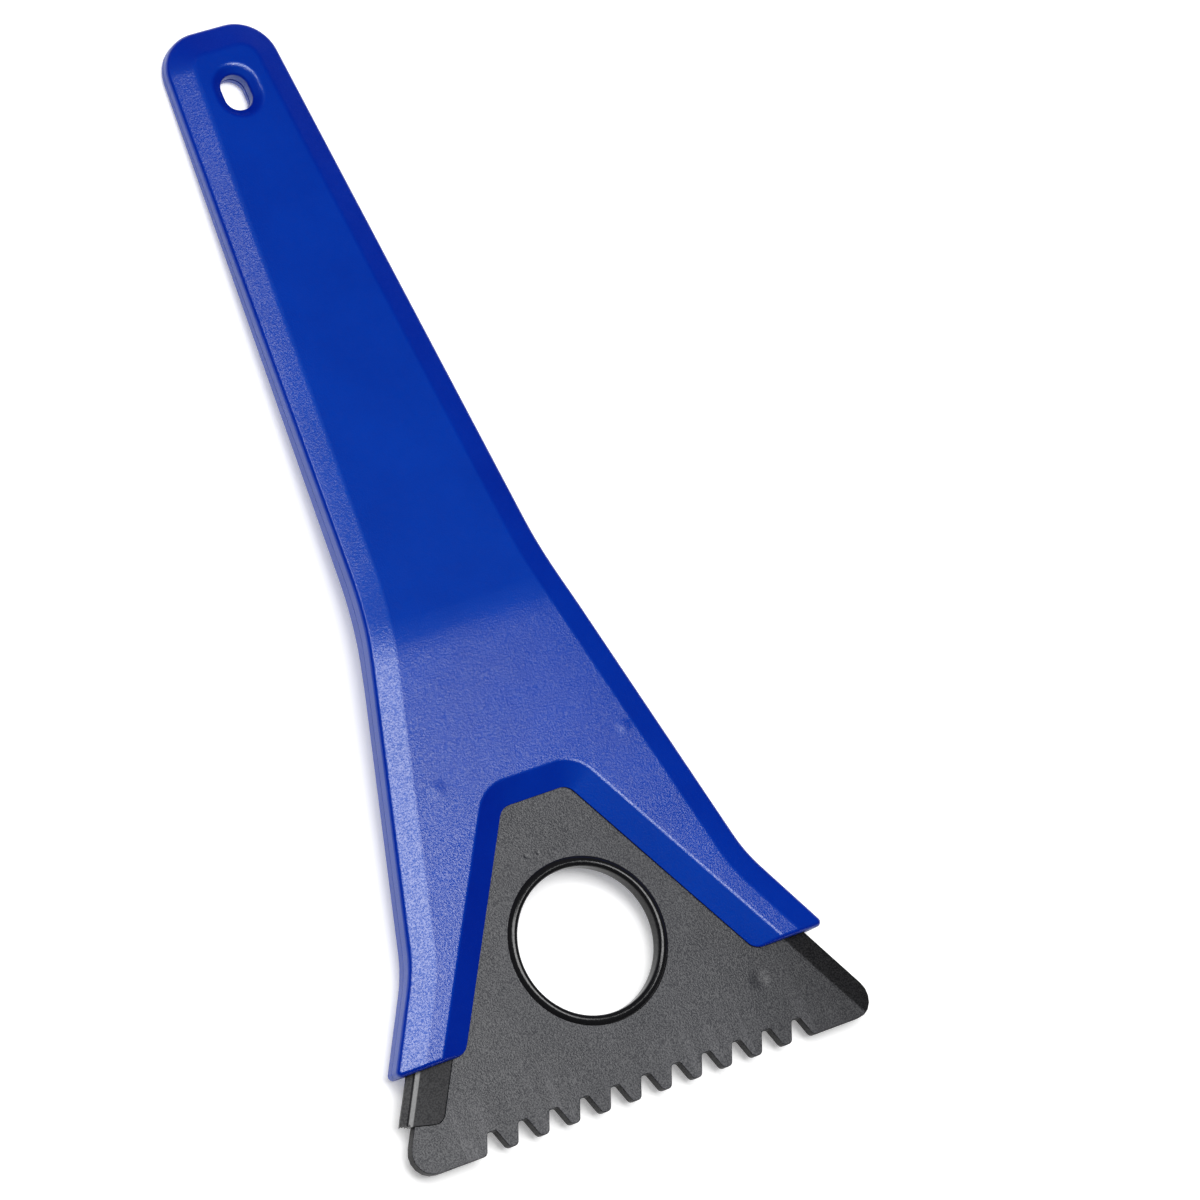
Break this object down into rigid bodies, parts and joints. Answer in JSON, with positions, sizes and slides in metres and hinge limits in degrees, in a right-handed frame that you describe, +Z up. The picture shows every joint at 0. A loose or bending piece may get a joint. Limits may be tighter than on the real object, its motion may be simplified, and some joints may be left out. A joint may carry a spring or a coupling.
{
  "type": "windshield ice scraper",
  "caption": "Flat forked plastic handle holding a triangular head with a toothed edge, a bevelled scraping edge and a rubber squeegee edge round a finger hole.",
  "frame": {"origin": "on the surface it lies on, under the middle of its length and width", "axes": "+Y along the handle away from the head, +Z up out of the front face, +X to the right seen from the front with the grip up"},
  "size_m": [0.1198, 0.2678, 0.016],
  "materials": {
    "blue_plastic": "satin with a fine moulded grain",
    "black_plastic": "satin with a fine spark-eroded grain",
    "black_rubber": "matt, slightly rubbed"
  },
  "bodies": {
    "handle": {"front_shell": "blue_plastic", "rear_cover": "blue_plastic"},
    "head": {"head_plate": "black_plastic", "rubber_blade": "black_rubber"}
  },
  "joints": [
    {"name": "head_slide", "type": "slide", "parent": "handle", "child": "head", "axis": [0, -0.9983, -0.0586], "range_m": [0, 0.084]}
  ]
}
